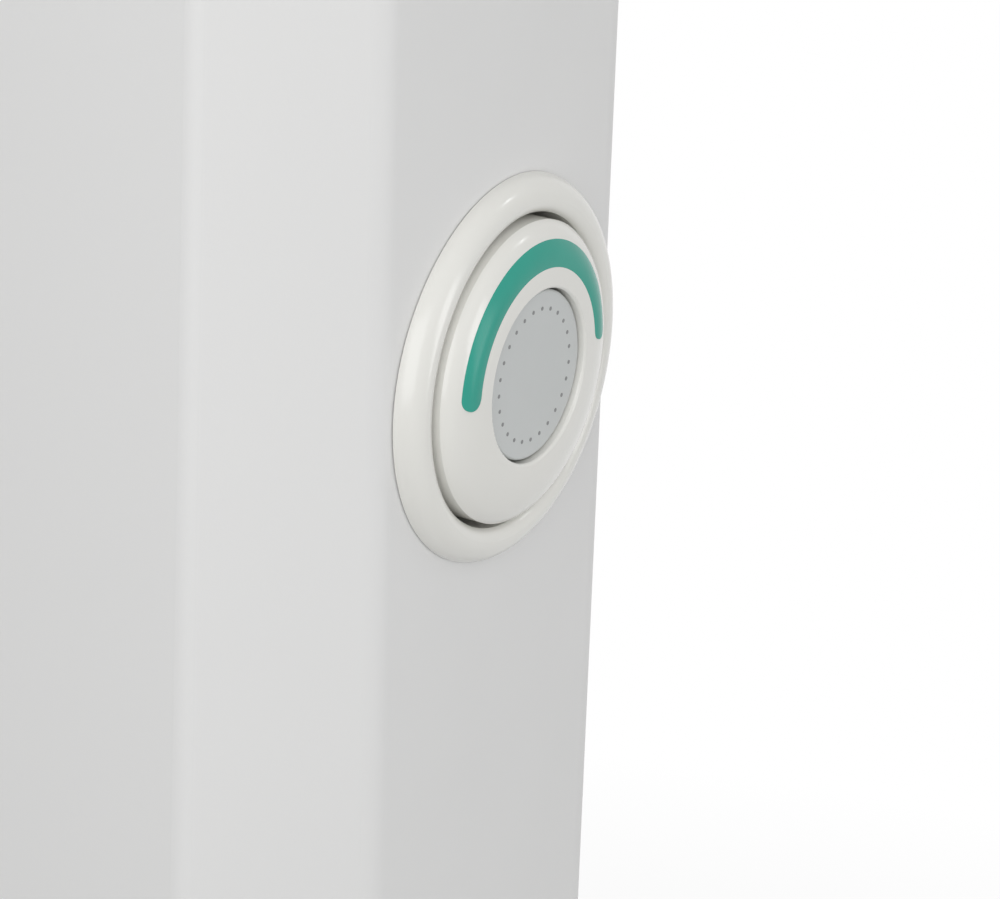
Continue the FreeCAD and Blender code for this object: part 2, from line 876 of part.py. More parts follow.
def make_cable_gland():
    body = new_body("cable_gland")
    outer = S.gland_bore + S.gland_wall
    flange = outer + S.gland_flange
    inside = S.bottom_thickness + S.gland_nut_height
    nose_tip = -S.gland_flange_height - S.gland_nose
    tip_radius = S.gland_bore + S.gland_wall / 2
    nut = outer + S.gland_flange / 2
    sketch = new_sketch(body, "XZ_Plane")
    draw(
        sketch,
        (S.gland_bore, nose_tip),
        (tip_radius, nose_tip),
        (outer, -S.gland_flange_height),
        (flange, -S.gland_flange_height),
        (flange, 0),
        (outer, 0),
        (outer, S.bottom_thickness),
        (nut, S.bottom_thickness),
        (nut, inside),
        (S.gland_bore, inside),
        (S.gland_bore, nose_tip),
    )
    revolve(body, sketch, "V_Axis")
    put(body, apex - S.gland_setback, 0, cover_bottom)
    node(body, "cable_gland")


make_front_cover()
make_back_plate()
make_bottom_plate()
make_cover_screws()
make_cable_gland()


# Top cap, with its two rocker switches, lamp and carrying handle

rocker_x = apex - S.rocker_setback
rocker_pivot = cap_top + S.rocker_flange_height
post_x = plate_rear + S.post_setback
post_y = S.housing_width / 2 - S.post_inset - S.post_thickness / 2
box_half_length = S.rocker_radius + S.rocker_gap + S.rocker_box_wall
box_half_width = S.rocker_width / 2 + S.rocker_gap + S.rocker_box_wall


def make_top_cap():
    low = cover_top.value
    height = S.cap_height.value
    back = plate_rear.value
    shell = housing_slab(low, height, 0.0, back)
    top = low + height
    rim = [
        edge for edge in shell.Edges
        if edge.BoundBox.ZMin > top - SAME_PLACE and edge.BoundBox.XMax > back + SAME_PLACE
    ]
    shell = shell.makeFillet(S.cap_round.value, rim)
    hollow_height = height - S.cap_deck.value
    shell = shell.cut(housing_slab(low, hollow_height, S.cap_wall.value, plate_front.value))
    below = low + hollow_height - overlap.value
    tall = S.cap_deck + overlap * 2
    half_length = box_half_length + S.cover_fit
    half_width = box_half_width + S.cover_fit
    for side in SIDES.values():
        y = S.rocker_spread * side - half_width
        corner = FreeCAD.Vector((rocker_x - half_length).value, y.value, below)
        opening = Part.makeBox((half_length * 2).value, (half_width * 2).value, tall.value, corner)
        shell = shell.cut(opening)
        start = FreeCAD.Vector(post_x.value, side * post_y.value, below)
        hole = S.handle_screw_radius + S.screw_clearance
        shell = shell.cut(cylinder(hole, tall, start, (0, 0, 1)))
    start = FreeCAD.Vector(rocker_x.value, 0, below)
    shell = shell.cut(cylinder(S.lamp_stem + S.running_fit, tall, start, (0, 0, 1)))
    node(shaped("top_cap", shell), "top_cap")


def make_rocker(name, side):
    """Rocker in its off position, turned about its pivot just above the deck."""
    body = new_body(name)
    radius = S.rocker_radius
    sketch = new_sketch(body, "XZ_Plane")
    draw(
        sketch,
        (-radius, 0),
        (as_size(0), -radius, radius),
        (radius, 0, radius),
        (radius, S.rocker_peak),
        (0, S.rocker_valley),
        (-radius, S.rocker_peak),
        (-radius, 0),
    )
    extrude(body, "Pad", sketch, S.rocker_width, symmetric=True)
    put(body, rocker_x, S.rocker_spread * side, rocker_pivot, FreeCAD.Rotation(FreeCAD.Vector(0, 1, 0), 1))
    body.setExpression("Placement.Rotation.Angle", S.rocker_tilt.text)
    node(body, name)

    low = rocker_pivot - S.rocker_box_depth
    y = S.rocker_spread * side
    box = block(
        name + "_box", rocker_x - box_half_length, y - box_half_width, low,
        box_half_length * 2, box_half_width * 2, S.rocker_box_depth,
    )
    half_length = box_half_length + S.rocker_flange
    half_width = box_half_width + S.rocker_flange
    flange = block(
        name + "_flange", rocker_x - half_length, y - half_width, cap_top,
        half_length * 2, half_width * 2, S.rocker_flange_height,
    )
    well_half = S.rocker_width / 2 + S.rocker_gap
    well = rod(
        name + "_well", rocker_x, y - well_half, rocker_pivot,
        S.rocker_radius + S.rocker_gap, well_half * 2, ALONG_Y,
    )
    node(cut(name + "_body", fuse(name + "_case", box, flange), well), name + "_body")


def make_lamp():
    body = new_body("pilot_lamp")
    sketch = new_sketch(body, "XZ_Plane")
    rise = S.lamp_rise
    crown = (S.lamp_radius * S.lamp_radius + rise * rise) / (rise * 2)
    draw(
        sketch,
        (0, -S.lamp_length),
        (S.lamp_stem, -S.lamp_length),
        (S.lamp_stem, 0),
        (S.lamp_radius, 0),
        (0, rise, crown),
        (0, -S.lamp_length),
    )
    revolve(body, sketch, "V_Axis")
    put(body, rocker_x, 0, cap_top)
    node(body, "pilot_lamp")


def make_handle_post(name, side):
    """Upright that widens to its foot, with a round socket for the grip."""
    body = new_body(name)
    top = S.handle_gap + S.grip_radius * 2
    centre = S.handle_gap + S.grip_radius
    half = S.post_base / 2
    sketch = new_sketch(body, "XZ_Plane")
    draw(
        sketch,
        (-half, 0),
        (half, 0),
        (S.grip_radius, centre),
        (as_size(0), top, S.grip_radius),
        (-S.grip_radius, centre, S.grip_radius),
        (-half, 0),
    )
    pad = extrude(body, "Pad", sketch, S.post_thickness, symmetric=True)
    outer = lies_at("y", S.post_thickness / 2, -S.post_thickness / 2)
    soften(body, pad, "Fillet", S.post_round, lambda edge: outer(edge) and edge.BoundBox.ZMax > SAME_PLACE)
    sketch = new_sketch(body, "XZ_Plane", S.post_thickness * (side / 2))
    circle(sketch, 0, centre, S.spigot_radius + S.press_fit)
    extrude(body, "Pocket", sketch, S.spigot_length, backward=side < 0)
    sketch = new_sketch(body, "XY_Plane")
    circle(sketch, 0, 0, S.handle_screw_radius + S.press_fit)
    extrude(body, "Pocket", sketch, S.handle_screw_length, backward=True)
    put(body, post_x, post_y * side, cap_top)
    node(body, name)


def make_grip():
    body = new_body("handle_grip")
    half = post_y - S.post_thickness / 2
    end = half + S.spigot_length
    swell = S.grip_radius + S.grip_swell
    crown = (half * half + S.grip_swell * S.grip_swell) / (S.grip_swell * 2)
    sketch = new_sketch(body, "XY_Plane")
    draw(
        sketch,
        (0, -end),
        (S.spigot_radius, -end),
        (S.spigot_radius, -half),
        (S.grip_radius, -half),
        (swell, 0, crown),
        (S.grip_radius, half, crown),
        (S.spigot_radius, half),
        (S.spigot_radius, end),
        (0, end),
        (0, -end),
    )
    revolve(body, sketch, "V_Axis")
    put(body, post_x, 0, grip_height)
    node(body, "handle_grip")


def make_handle_screws():
    screws = []
    under_deck = cap_top - S.cap_deck
    for side in SIDES.values():
        y = post_y * side
        low = under_deck - S.handle_screw_head_height
        head = rod("head", post_x, y, low, S.handle_screw_head, S.handle_screw_head_height)
        length = S.cap_deck + S.handle_screw_length - S.cover_fit
        shank = rod("shank", post_x, y, under_deck, S.handle_screw_radius, length)
        screws.append(fuse("screw", head, shank))
    node(group("handle_screws", screws), "handle_screws")


make_top_cap()
for side_name, side_sign in SIDES.items():
    make_rocker(f"rocker_{side_name}", side_sign)
    make_handle_post(f"handle_post_{side_name}", side_sign)
make_lamp()
make_grip()
make_handle_screws()


# Round control: bezel ring let into the cover, turning dial with an inlaid arc, and centre button


def place_on_panel(item):
    return put(item, apex, 0, dial_height)


def make_bezel():
    body = new_body("bezel_ring")
    crest = bezel_outer - S.bezel_outer_round
    outer_edge = S.bezel_rise - S.bezel_outer_round
    fall = S.bezel_rise - S.bezel_lip
    width = crest - bezel_inner
    inner_round = (width * width + fall * fall) / (fall * 2)
    sketch = new_sketch(body, "XY_Plane")
    draw(
        sketch,
        (-S.sleeve_depth, bezel_inner),
        (-S.sleeve_depth, bezel_outer),
        (outer_edge, bezel_outer),
        (S.bezel_rise, crest, -S.bezel_outer_round),
        (S.bezel_lip, bezel_inner, -inner_round),
        (-S.sleeve_depth, bezel_inner),
    )
    revolve(body, sketch, "H_Axis")
    place_on_panel(body)
    panel = shaped(
        "panel_form",
        housing_solid(cover_bottom.value, cover_top.value, -S.bezel_seat.value, plate_rear.value),
    )
    ring = cut("ring", body, panel)
    start = apex - S.sleeve_depth
    sleeve_length = S.sleeve_depth + S.bezel_lip
    tube = cut(
        "tube",
        rod("tube_out", start, 0, dial_height, sleeve_outer, sleeve_length, ALONG_X),
        rod("tube_in", start, 0, dial_height, bezel_inner, sleeve_length, ALONG_X),
    )
    node(fuse("dial_bezel", ring, tube), "dial_bezel")


def dome_at(radius):
    """Height of the dial's dome, level where it meets the round of the rim."""
    out = radius - button_hole - S.rim_round
    return S.rim_rise - S.dome_radius + root(S.dome_radius * S.dome_radius - out * out)


def make_dial():
    body = new_body("dial_form")
    floor_back = -S.floor_drop - S.floor_thickness
    skirt_inner = dial_radius - S.dial_wall
    bore = S.plunger_radius + S.running_fit
    hub_end = floor_back - S.hub_length
    sketch = new_sketch(body, "XY_Plane")
    draw(
        sketch,
        (hub_end, bore),
        (hub_end, S.hub_radius),
        (floor_back, S.hub_radius),
        (floor_back, skirt_inner),
        (-S.dial_skirt, skirt_inner),
        (-S.dial_skirt, dial_radius),
        (S.edge_rise, dial_radius),
        (dome_at(dial_shoulder), dial_shoulder, -S.edge_round),
        (S.rim_rise, button_hole + S.rim_round, -S.dome_radius),
        (S.rim_rise - S.rim_round, button_hole, -S.rim_round),
        (-S.floor_drop, button_hole),
        (-S.floor_drop, bore),
        (hub_end, bore),
    )
    revolve(body, sketch, "H_Axis")

    # Upper band from tip to tip, with a round end beyond each place where its sides stop
    band = new_body("arc_band")
    sketch = new_sketch(band, "YZ_Plane")
    tip = S.arc_width / 2
    middle = arc_inner + tip
    across = cosine(S.arc_lift)
    up = sine(S.arc_lift)
    end_across = across * middle + up * tip
    end_up = up * middle - across * tip
    draw(
        sketch,
        (across * arc_outer, up * arc_outer),
        (0, arc_outer, arc_outer),
        (-(across * arc_outer), up * arc_outer, arc_outer),
        (-end_across, end_up, tip),
        (-(across * arc_inner), up * arc_inner, tip),
        (0, arc_inner, -arc_inner),
        (across * arc_inner, up * arc_inner, -arc_inner),
        (end_across, end_up, tip),
        (across * arc_outer, up * arc_outer, tip),
    )
    extrude(band, "Pad", sketch, S.rim_rise * 2)
    place_on_panel(body)
    place_on_panel(band)

    inner_rise = dome_at(arc_inner)
    outer_rise = dome_at(arc_outer)

    def arc_piece(name, *top):
        """Ring under the given top, kept only inside the band."""
        ring = new_body(name + "_ring")
        ring_sketch = new_sketch(ring, "XY_Plane")
        outer_foot = (outer_rise - S.arc_depth, arc_outer)
        draw(ring_sketch, outer_foot, *top, (inner_rise - S.arc_depth, arc_inner), outer_foot)
        revolve(ring, ring_sketch, "H_Axis")
        piece = doc.addObject("Part::Common", name)
        piece.Base = place_on_panel(ring)
        piece.Tool = band
        return piece

    clear = S.rim_rise + S.arc_depth
    recess = arc_piece("arc_recess", (clear, arc_outer), (clear, arc_inner))
    node(cut("control_dial", body, recess), "control_dial")
    inlay = arc_piece("dial_arc", (outer_rise, arc_outer), (inner_rise, arc_inner, -S.arc_crown))
    node(inlay, "dial_arc")


def make_button():
    body = new_body("centre_button")
    back = -bracket_back - S.switch_entry
    disc_back = S.button_rise - S.button_thickness
    edge = S.button_radius - S.button_edge
    sketch = new_sketch(body, "XY_Plane")
    draw(
        sketch,
        (back, 0),
        (back, S.plunger_radius),
        (disc_back, S.plunger_radius),
        (disc_back, S.button_radius),
        (S.button_rise - S.button_edge, S.button_radius),
        (S.button_rise, edge, -S.button_edge),
        (S.button_rise, 0),
        (back, 0),
    )
    revolve(body, sketch, "H_Axis")
    node(place_on_panel(body), "centre_button")


def make_thermostat():
    width = S.thermostat_width
    start = apex - bracket_front
    case = block("case", start, -width / 2, dial_height - width / 2, S.thermostat_depth, width, width)
    bore = rod("bore", start, 0, dial_height, S.hub_radius + S.running_fit, S.thermostat_depth, ALONG_X)
    low = dial_height - width / 2 - S.blade_length
    middle = start + S.thermostat_depth / 2
    blades = []
    for side in SIDES.values():
        y = side * (width / 2 - S.blade_width) - S.blade_width / 2
        blades.append(block("blade", middle, y, low, S.blade_thickness, S.blade_width, S.blade_length))
    node(fuse("thermostat_body", cut("bored_case", case, bore), *blades), "thermostat_body")


def make_bracket():
    """Bent steel channel that stands off the back plate on two lipped legs."""
    body = new_body("control_bracket")
    half = S.bracket_width / 2
    foot = half + S.bracket_lip
    wall = S.plate_thickness
    front = -bracket_front
    back = plate_front - apex
    sketch = new_sketch(body, "XY_Plane")
    draw(
        sketch,
        (back, foot),
        (back, half - wall),
        (front - wall, half - wall),
        (front - wall, wall - half),
        (back, wall - half),
        (back, -foot),
        (back + wall, -foot),
        (back + wall, -half),
        (front, -half),
        (front, half),
        (back + wall, half),
        (back + wall, foot),
        (back, foot),
    )
    extrude(body, "Pad", sketch, S.bracket_height, symmetric=True)
    sketch = new_sketch(body, "YZ_Plane")
    circle(sketch, 0, 0, S.plunger_radius + S.dial_gap)
    extrude(body, "Pocket", sketch, S.housing_depth)
    node(place_on_panel(body), "control_bracket")


def make_push_switch():
    width = S.switch_width
    start = apex - bracket_back - S.switch_depth
    case = block("case", start, -width / 2, dial_height - width / 2, S.switch_depth, width, width)
    depth = S.switch_entry + S.button_travel + S.dial_gap
    mouth = apex - bracket_back - depth
    bore = rod("bore", mouth, 0, dial_height, S.plunger_radius + S.running_fit, depth, ALONG_X)
    node(cut("push_switch", case, bore), "push_switch")


def make_back_plate_fittings():
    level = lower_header + S.cutout_above_header
    can = rod("can", plate_front, 0, level, S.cutout_radius, S.cutout_height, ALONG_X)
    tabs = []
    for side in SIDES.values():
        y = side * (S.cutout_radius / 2) - S.blade_width / 2
        start = plate_front + S.cutout_height
        tabs.append(block("tab", start, y, level, S.blade_length, S.blade_width, S.blade_thickness))
    node(fuse("thermal_cutout", can, *tabs), "thermal_cutout")

    low = lower_header + S.block_above_bottom
    width = S.block_width
    case = block("case", plate_front, -width / 2, low, S.block_depth, width, S.block_height)
    middle = plate_front + S.block_depth / 2
    z = low + S.block_height / 2
    holes = [
        rod("hole", middle, width * (place / 3), z, S.block_hole, S.block_depth, ALONG_X)
        for place in (-1, 0, 1)
    ]
    node(cut("terminal_block", case, *holes), "terminal_block")


make_bezel()
make_dial()
make_button()
make_thermostat()
make_bracket()
make_push_switch()
make_back_plate_fittings()


# Feet: a moulded rail under each end pair of columns, hung from the lower header by a U-bolt

front_rail_x = fin_x(FIN_COUNT - 0.5)
rear_rail_x = fin_x(1.5)
caster_reach = S.rail_length / 2 - S.caster_inset
bolt_bend = S.header_radius + S.bolt_slack + S.bolt_radius
nut_top = fin_bottom - S.rail_wall
RAILS = {"front": front_rail_x, "rear": rear_rail_x}


def make_rail(name, x):
    body = new_body(name)
    half_length = S.rail_length / 2
    half_width = S.rail_width / 2
    sketch = new_sketch(body, "XY_Plane")
    rounded_rectangle(sketch, -half_width, -half_length, half_width, half_length, S.rail_round)
    pad = extrude(body, "Pad", sketch, S.rail_height)
    soften(body, pad, "Fillet", S.rail_edge, lies_at("z", S.rail_height))
    sketch = new_sketch(body, "XY_Plane")
    wall = S.rail_wall
    inner_width = half_width - wall
    inner_length = half_length - wall
    rounded_rectangle(
        sketch, -inner_width, -inner_length, inner_width, inner_length, S.rail_round - wall,
    )
    extrude(body, "Pocket", sketch, S.rail_height - wall, backward=True)
    sketch = new_sketch(body, "XY_Plane")
    for side in SIDES.values():
        circle(sketch, 0, caster_reach * side, S.socket_radius)
    extrude(body, "Pad", sketch, S.rail_height - wall)
    sketch = new_sketch(body, "XY_Plane")
    for side in SIDES.values():
        circle(sketch, 0, caster_reach * side, S.stem_radius + S.running_fit)
    extrude(body, "Pocket", sketch, S.stem_depth + S.bolt_slack, backward=True)
    sketch = new_sketch(body, "XY_Plane")
    for side in SIDES.values():
        circle(sketch, 0, bolt_bend * side, S.bolt_radius + S.bolt_slack)
    extrude(body, "Pocket", sketch, S.rail_height * 2, symmetric=True)
    put(body, x, 0, rail_bottom)
    node(body, name)


def make_u_bolt(name, x):
    low = nut_top - S.bolt_thread
    legs = [
        rod("leg", x, bolt_bend * side, low, S.bolt_radius, lower_header - low)
        for side in SIDES.values()
    ]
    bow = half_ring("bow", x, 0, lower_header, bolt_bend, S.bolt_radius, ACROSS_X)
    node(fuse(name, *legs, bow), name)


def make_wing_nuts():
    nuts = []
    low = nut_top - S.nut_height
    for x in RAILS.values():
        for side in SIDES.values():
            y = bolt_bend * side
            hub = rod("hub", x, y, low, S.nut_radius, S.nut_height)
            reach = S.nut_radius + S.wing_length
            wings = block(
                "wings", x - reach, y - S.wing_thickness / 2, nut_top - S.wing_height,
                reach * 2, S.wing_thickness, S.wing_height,
            )
            bore = rod(
                "bore", x, y, nut_top - S.wing_height, S.bolt_radius + S.press_fit, S.wing_height,
            )
            nuts.append(cut("nut", fuse("wing_nut", hub, wings), bore))
    node(group("wing_nuts", nuts), "wing_nuts")


for rail_name, rail_x in RAILS.items():
    make_rail(f"{rail_name}_foot_rail", rail_x)
    make_u_bolt(f"{rail_name}_u_bolt", rail_x)
make_wing_nuts()


# Casters: a fork that swivels on its stem, and a wheel that turns on its axle behind it

wheel_half = S.wheel_width / 2
fork_half = wheel_half + S.wheel_side_gap + S.cheek_thickness


def make_fork(name, x, y):
    body = new_body(name)
    axle_drop = crown_bottom - S.wheel_radius
    rear = S.caster_trail + S.cheek_radius
    sketch = new_sketch(body, "XY_Plane")
    rounded_rectangle(sketch, -rear, -fork_half, S.crown_radius, fork_half, S.cheek_radius)
    extrude(body, "Pad", sketch, S.crown_thickness)
    sketch = new_sketch(body, "XZ_Plane")
    draw(
        sketch,
        (-S.caster_trail - S.cheek_radius, -axle_drop),
        (-S.caster_trail, -axle_drop - S.cheek_radius, S.cheek_radius),
        (S.cheek_radius - S.caster_trail, -axle_drop, S.cheek_radius),
        (S.cheek_radius, 0),
        (-rear, 0),
        (-rear, -axle_drop),
    )
    extrude(body, "Pad", sketch, fork_half * 2, symmetric=True)
    sketch = new_sketch(body, "XZ_Plane")
    low = -axle_drop - S.cheek_radius * 2
    rectangle(sketch, -rear * 2, low, S.crown_radius * 2, 0)
    extrude(body, "Pocket", sketch, (wheel_half + S.wheel_side_gap) * 2, symmetric=True)
    sketch = new_sketch(body, "XZ_Plane")
    circle(sketch, -S.caster_trail, -axle_drop, S.axle_radius + S.press_fit)
    extrude(body, "Pocket", sketch, fork_half * 4, symmetric=True)
    sketch = new_sketch(body, "XY_Plane")
    circle(sketch, 0, 0, S.stem_radius + S.press_fit)
    extrude(body, "Pocket", sketch, S.crown_thickness, backward=True)
    put(body, x, y, crown_bottom)
    node(body, name)


def make_wheel(name, x, y):
    body = new_body(name)
    bore = S.axle_radius + S.running_fit
    face = wheel_half - S.wheel_recess
    edge = S.wheel_radius - S.wheel_edge
    sketch = new_sketch(body, "XY_Plane")
    draw(
        sketch,
        (bore, -wheel_half),
        (S.wheel_hub, -wheel_half),
        (S.wheel_hub, -face),
        (S.wheel_rim, -face),
        (S.wheel_rim, -wheel_half),
        (edge, -wheel_half),
        (S.wheel_radius, S.wheel_edge - wheel_half, S.wheel_edge),
        (S.wheel_radius, wheel_half - S.wheel_edge),
        (edge, wheel_half, S.wheel_edge),
        (S.wheel_rim, wheel_half),
        (S.wheel_rim, face),
        (S.wheel_hub, face),
        (S.wheel_hub, wheel_half),
        (bore, wheel_half),
        (bore, -wheel_half),
    )
    revolve(body, sketch, "V_Axis")
    put(body, x, y, S.wheel_radius)
    node(body, name)


def make_axle(name, x, y):
    pin = rod("pin", x, y - fork_half, S.wheel_radius, S.axle_radius, fork_half * 2, ALONG_Y)
    thick = S.axle_head_thickness
    heads = [
        rod("head", x, y + place, S.wheel_radius, S.axle_head, thick, ALONG_Y)
        for place in (fork_half, -fork_half - thick)
    ]
    node(fuse(name, pin, *heads), name)


for place_name, (end_sign, side_sign) in CASTER_PLACES.items():
    caster_x = front_rail_x if end_sign > 0 else rear_rail_x
    caster_y = caster_reach * side_sign
    make_fork(f"caster_fork_{place_name}", caster_x, caster_y)
    stem = rod(
        f"caster_stem_{place_name}", caster_x, caster_y, crown_bottom,
        S.stem_radius, S.crown_thickness + S.swivel_gap + S.stem_depth,
    )
    node(stem, f"caster_stem_{place_name}")
    make_axle(f"caster_axle_{place_name}", caster_x - S.caster_trail, caster_y)
    make_wheel(f"caster_wheel_{place_name}", caster_x - S.caster_trail, caster_y)

doc.recompute()


# Every feature has to be sound, and every cut has to take material away, before a file is written

for item in doc.Objects:
    if {"Invalid", "Error"} & set(item.State):
        raise RuntimeError(f"{item.Label} failed: {item.State}")
    if item.TypeId == "PartDesign::Pocket":
        taken = item.BaseFeature.Shape.Volume - item.Shape.Volume
        if taken < SAME_PLACE:
            raise RuntimeError(f"{item.Label} cuts nothing")
for item in nodes:
    if item.Shape.isNull() or not item.Shape.isValid() or not item.Shape.Solids:
        raise RuntimeError(f"{item.Label} has no sound shape")

os.makedirs("parts", exist_ok=True)
for item in nodes:
    item.Shape.exportStep(f"parts/{item.Label}.step")
whole = FreeCAD.BoundBox()
for item in nodes:
    whole.add(item.Shape.BoundBox)
print(f"{len(nodes)} pieces, {whole}")
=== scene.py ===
import json
import math

import bmesh
import bpy
from mathutils import Matrix, Quaternion, Vector


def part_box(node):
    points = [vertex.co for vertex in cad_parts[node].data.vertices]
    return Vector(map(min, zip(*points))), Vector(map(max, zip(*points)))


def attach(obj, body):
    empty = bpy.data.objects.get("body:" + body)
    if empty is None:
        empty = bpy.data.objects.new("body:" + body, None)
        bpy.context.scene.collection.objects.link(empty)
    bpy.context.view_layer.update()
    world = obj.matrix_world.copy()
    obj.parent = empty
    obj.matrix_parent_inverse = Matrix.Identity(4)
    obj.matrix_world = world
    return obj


# Looks of the oil-filled radiator, in metres and in the frame of its solids

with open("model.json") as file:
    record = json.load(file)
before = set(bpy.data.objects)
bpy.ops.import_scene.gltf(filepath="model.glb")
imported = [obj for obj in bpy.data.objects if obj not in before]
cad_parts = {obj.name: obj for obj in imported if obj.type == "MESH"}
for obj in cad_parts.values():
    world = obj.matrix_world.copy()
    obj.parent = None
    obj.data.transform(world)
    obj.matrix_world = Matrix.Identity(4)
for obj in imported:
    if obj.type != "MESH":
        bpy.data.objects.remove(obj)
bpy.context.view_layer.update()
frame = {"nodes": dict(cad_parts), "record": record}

# Camera of the photograph
AZIMUTH = math.radians(30.34)
ELEVATION = math.radians(21.74)
ROLL = math.radians(1.86)
DISTANCE = 1.5
FOCAL_PIXELS = 7590.0
IMAGE_WIDTH = 1000.0
SENSOR = 36.0
AIM = Vector((0.174504, -0.005452, 0.453024))

# Printed dots on the button in the middle of the dial
DIAL_HEIGHT = 0.468
DOT_COUNT = 25
DOT_START = math.radians(8.3)
DOT_RADIUS = 0.00042
DOT_RING = 0.0135
DOT_RISE = 0.00002
DOT_THICKNESS = 0.00008
DOT_SEGMENTS = 24

# Threads on the ends of the U-bolts, with their steps, margin and run-out counted by the turn
THREAD_PITCH = 0.001
THREAD_DEPTH = 0.0003
THREAD_ROOT = 0.0001
THREAD_HALF_WIDTH = 0.00042
THREAD_STEPS = 32
THREAD_MARGIN = 0.5
THREAD_RUN_OUT = 0.5

# The floor keeps its shadows near the middle and fades to plain white further out
FLOOR_SIZE = 60.0
FLOOR_NEAR = 0.35
FLOOR_FAR = 0.8
FLOOR_WHITENESS = 0.5
FLOOR_SEEN = 0.8
FLOOR_BOUNCE = 0.36
FLOOR_ROUGHNESS = 0.8

# The room lights the object less than the plain white that the camera sees behind it
ROOM_STRENGTH = 0.585
WHITE_STRENGTH = 1.0
WHITE = (1.0, 1.0, 1.0, 1.0)

# What the lamps point at
CONTROL = (0.17, 0.0, 0.47)
MIDDLE = (0.0, 0.0, 0.35)

# Sockets of a Mix node that mixes colours
MIX_FACTOR = 0
MIX_DARK = 6
MIX_LIGHT = 7
MIX_RESULT = 2

# Range that most of a noise texture's values lie in
NOISE_LOW = 0.3
NOISE_HIGH = 0.7


# Materials


class Finish:
    """A node material built up from a base colour, with detail at real sizes in metres."""

    def __init__(self, name, colour, roughness, **sockets):
        self.material = bpy.data.materials.new(name)
        self.material.use_nodes = True
        self.colour = colour
        self.tree = self.material.node_tree
        self.shader = self.tree.nodes["Principled BSDF"]
        self.shader.inputs["Base Color"].default_value = (*colour, 1.0)
        self.shader.inputs["Roughness"].default_value = roughness
        for socket, value in sockets.items():
            self.shader.inputs[socket.replace("_", " ")].default_value = value
        self.place = self.add("ShaderNodeTexCoord").outputs["Object"]

    def add(self, kind, **settings):
        item = self.tree.nodes.new(kind)
        for name, value in settings.items():
            setattr(item, name, value)
        return item

    def link(self, source, target):
        self.tree.links.new(source, target)

    def noise(self, size, detail=2.0, stretch=(1.0, 1.0, 1.0)):
        """Cloudy noise whose features are about as large as the size."""
        spread = self.add("ShaderNodeMapping")
        spread.inputs["Scale"].default_value = stretch
        self.link(self.place, spread.inputs["Vector"])
        cloud = self.add("ShaderNodeTexNoise")
        cloud.inputs["Scale"].default_value = 1.0 / size
        cloud.inputs["Detail"].default_value = detail
        self.link(spread.outputs["Vector"], cloud.inputs["Vector"])
        return cloud.outputs["Fac"]

    def ranged(self, value, low, high, start=NOISE_LOW, end=NOISE_HIGH):
        """Goes from low to high as the value goes from start to end."""
        change = self.add("ShaderNodeMapRange")
        change.inputs["From Min"].default_value = start
        change.inputs["From Max"].default_value = end
        change.inputs["To Min"].default_value = low
        change.inputs["To Max"].default_value = high
        self.link(value, change.inputs["Value"])
        return change.outputs["Result"]

    def tint(self, value, amount):
        """Lets the colour drift lighter and darker by a share of itself."""
        mix = self.add("ShaderNodeMix", data_type="RGBA")
        for socket, share in ((MIX_DARK, 1 - amount), (MIX_LIGHT, 1 + amount)):
            mix.inputs[socket].default_value = (*[channel * share for channel in self.colour], 1.0)
        self.link(self.ranged(value, 0.0, 1.0), mix.inputs[MIX_FACTOR])
        self.link(mix.outputs[MIX_RESULT], self.shader.inputs["Base Color"])
        return self

    def gloss(self, value, low, high):
        """Lets the roughness vary between two levels."""
        self.link(self.ranged(value, low, high), self.shader.inputs["Roughness"])
        return self

    def bump(self, value, height):
        """Relief of a height in metres."""
        relief = self.add("ShaderNodeBump")
        relief.inputs["Distance"].default_value = height
        relief.inputs["Strength"].default_value = 1.0
        self.link(value, relief.inputs["Height"])
        self.link(relief.outputs["Normal"], self.shader.inputs["Normal"])
        return self


def column_enamel():
    finish = Finish(
        "column_enamel", (0.80, 0.80, 0.785), roughness=0.34, Coat_Weight=0.15, Coat_Roughness=0.2,
    )
    finish.tint(finish.noise(0.09), amount=0.012)
    finish.gloss(finish.noise(0.03, detail=3.0), low=0.30, high=0.40)
    return finish.bump(finish.noise(0.0035, detail=1.0), height=0.00006)


def housing_white():
    finish = Finish("housing_white", (0.80, 0.80, 0.795), roughness=0.5)
    finish.tint(finish.noise(0.12), amount=0.008)
    finish.gloss(finish.noise(0.02, detail=3.0), low=0.46, high=0.54)
    return finish.bump(finish.noise(0.0006), height=0.000012)


def control_white():
    finish = Finish(
        "control_white", (0.82, 0.815, 0.775), roughness=0.2, Coat_Weight=0.15, Coat_Roughness=0.16,
    )
    finish.tint(finish.noise(0.03), amount=0.008)
    return finish.gloss(finish.noise(0.006, detail=3.0), low=0.18, high=0.22)


def arc_teal():
    finish = Finish("arc_teal", (0.036, 0.36, 0.28), roughness=0.22, Specular_IOR_Level=0.2)
    finish.tint(finish.noise(0.012), amount=0.03)
    return finish.gloss(finish.noise(0.004, detail=3.0), low=0.19, high=0.25)


def button_grey():
    finish = Finish("button_grey", (0.595, 0.615, 0.61), roughness=0.42)
    finish.tint(finish.noise(0.02), amount=0.01)
    finish.gloss(finish.noise(0.004, detail=3.0), low=0.38, high=0.46)
    return finish.bump(finish.noise(0.0004), height=0.000008)


def dot_ink():
    finish = Finish("dot_ink", (0.24, 0.245, 0.245), roughness=0.4)
    return finish.tint(finish.noise(0.0006, detail=3.0), amount=0.08)


def grained_plastic(name, colour, roughness, grain, depth):
    finish = Finish(name, colour, roughness)
    finish.tint(finish.noise(0.03), amount=0.04)
    finish.gloss(finish.noise(0.008, detail=3.0), low=roughness - 0.05, high=roughness + 0.06)
    return finish.bump(finish.noise(grain), height=depth)


